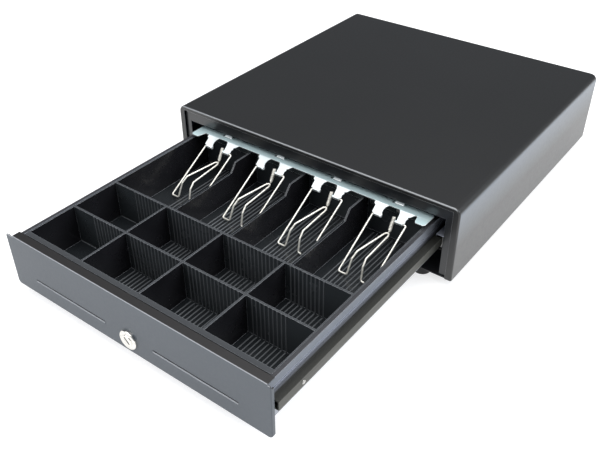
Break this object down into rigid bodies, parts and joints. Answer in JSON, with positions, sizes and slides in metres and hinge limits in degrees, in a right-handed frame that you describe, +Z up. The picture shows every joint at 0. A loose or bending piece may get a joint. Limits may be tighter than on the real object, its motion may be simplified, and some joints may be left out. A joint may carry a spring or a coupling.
{
  "type": "cash drawer",
  "caption": "Low steel cash drawer run out on ball slides, with coin cups, bill bays with sprung wire clips, a keyed front lock, media slots and a solenoid latch.",
  "frame": {"origin": "centre of the four mounting holes, in the plane of the housing's underside", "axes": "+Z up, +Y to the back of the housing, +X to the right of a person facing the drawer; the drawer runs out along -Y and is stored run out"},
  "size_m": [0.41, 0.7118, 0.107],
  "materials": {
    "charcoal_paint": "satin",
    "frame_paint": "satin",
    "panel_paint": "satin",
    "pan_paint": "satin",
    "zinc_steel": "satin",
    "slide_steel": "satin",
    "box_steel": "satin",
    "screw_steel": "satin",
    "ball_chrome": "polished",
    "lock_chrome": "polished",
    "clip_wire": "polished",
    "bar_zinc": "bright",
    "insert_plastic": "gloss",
    "guide_plastic": "satin",
    "socket_plastic": "satin",
    "foot_rubber": "matt",
    "spring_steel": "bright",
    "coil_wrap": "satin",
    "pin_steel": "bright"
  },
  "bodies": {
    "housing": {"housing_cover": "charcoal_paint", "base_pan": "pan_paint", "front_frame": "frame_paint", "rear_panel": "charcoal_paint", "rear_screws": "screw_steel", "rubber_feet": "foot_rubber", "foot_screws": "screw_steel", "slide_bracket_left": "zinc_steel", "slide_bracket_right": "zinc_steel", "slide_outer_left": "slide_steel", "slide_outer_right": "slide_steel", "latch_bracket": "zinc_steel", "latch_pin": "pin_steel", "latch_spacers": "guide_plastic", "latch_spring": "spring_steel", "solenoid_frame": "zinc_steel", "solenoid_coil": "coil_wrap", "microswitch": "guide_plastic", "eject_guide": "guide_plastic", "eject_spring": "spring_steel", "cable_socket": "socket_plastic"},
    "drawer": {"front_panel": "panel_paint", "drawer_box": "box_steel", "media_guide": "zinc_steel", "insert_stop": "zinc_steel", "rod_guide": "zinc_steel", "panel_screws": "screw_steel", "lock_barrel": "lock_chrome", "lock_nut": "zinc_steel", "slide_inner_left": "slide_steel", "slide_inner_right": "slide_steel", "till_insert": "insert_plastic", "clip_bar": "bar_zinc", "bar_screws": "screw_steel", "striker": "zinc_steel"},
    "cage_left": {"ball_cage_left": "zinc_steel", "slide_balls_left": "ball_chrome"},
    "cage_right": {"ball_cage_right": "zinc_steel", "slide_balls_right": "ball_chrome"},
    "lock_core": {"lock_plug": "lock_chrome", "lock_crank": "zinc_steel", "lock_rod": "pin_steel"},
    "clip_1": {"bill_clip_1": "clip_wire"},
    "clip_2": {"bill_clip_2": "clip_wire"},
    "clip_3": {"bill_clip_3": "clip_wire"},
    "clip_4": {"bill_clip_4": "clip_wire"},
    "latch": {"latch_hook": "zinc_steel"},
    "plunger": {"solenoid_plunger": "pin_steel", "link_pin": "pin_steel"},
    "lever": {"switch_lever": "spring_steel"},
    "pusher": {"eject_pusher": "guide_plastic"}
  },
  "joints": [
    {"name": "drawer_slide", "type": "slide", "parent": "housing", "child": "drawer", "axis": [0, -1, 0], "range_m": [-0.292, 0]},
    {"name": "cage_left_slide", "type": "slide", "parent": "housing", "child": "cage_left", "axis": [0, -1, 0], "range_m": [-0.146, 0]},
    {"name": "cage_right_slide", "type": "slide", "parent": "housing", "child": "cage_right", "axis": [0, -1, 0], "range_m": [-0.146, 0]},
    {"name": "lock_turn", "type": "hinge", "parent": "drawer", "child": "lock_core", "pos_m": [0, -0.4995, 0.0207], "axis": [0, -1, 0], "range_deg": [-45, 45]},
    {"name": "clip_1_lift", "type": "hinge", "parent": "drawer", "child": "clip_1", "pos_m": [-0.12712, -0.222, 0.0623], "axis": [-1, 0, 0], "range_deg": [0, 75], "stiffness_Nm_per_rad": 0.02, "springref_deg": -17.19},
    {"name": "clip_2_lift", "type": "hinge", "parent": "drawer", "child": "clip_2", "pos_m": [-0.04237, -0.222, 0.0623], "axis": [-1, 0, 0], "range_deg": [0, 75], "stiffness_Nm_per_rad": 0.02, "springref_deg": -17.19},
    {"name": "clip_3_lift", "type": "hinge", "parent": "drawer", "child": "clip_3", "pos_m": [0.04238, -0.222, 0.0623], "axis": [-1, 0, 0], "range_deg": [0, 75], "stiffness_Nm_per_rad": 0.02, "springref_deg": -17.19},
    {"name": "clip_4_lift", "type": "hinge", "parent": "drawer", "child": "clip_4", "pos_m": [0.12713, -0.222, 0.0623], "axis": [-1, 0, 0], "range_deg": [0, 75], "stiffness_Nm_per_rad": 0.02, "springref_deg": -17.19},
    {"name": "latch_swing", "type": "hinge", "parent": "housing", "child": "latch", "pos_m": [0, 0.1925, 0.03], "axis": [-1, 0, 0], "range_deg": [-14, 0]},
    {"name": "plunger_slide", "type": "slide", "parent": "housing", "child": "plunger", "axis": [0, 0, 1], "range_m": [-0.0039, 0], "deforming": ["latch_spring"]},
    {"name": "lever_swing", "type": "hinge", "parent": "housing", "child": "lever", "pos_m": [0, 0.1857, 0.0196], "axis": [-1, 0, 0], "range_deg": [-9, 0]},
    {"name": "pusher_slide", "type": "slide", "parent": "housing", "child": "pusher", "axis": [0, -1, 0], "range_m": [0, 0.02], "stiffness_N_per_m": 60, "deforming": ["eject_spring"]}
  ],
  "couplings": [
    {"joint": "cage_left_slide", "follows": "drawer_slide", "ratio": 0.5},
    {"joint": "cage_right_slide", "follows": "drawer_slide", "ratio": 0.5},
    {"joint": "latch_swing", "follows": "plunger_slide", "rad_per_m": 62.5},
    {"joint": "lever_swing", "follows": "plunger_slide", "rad_per_m": 34.4}
  ]
}
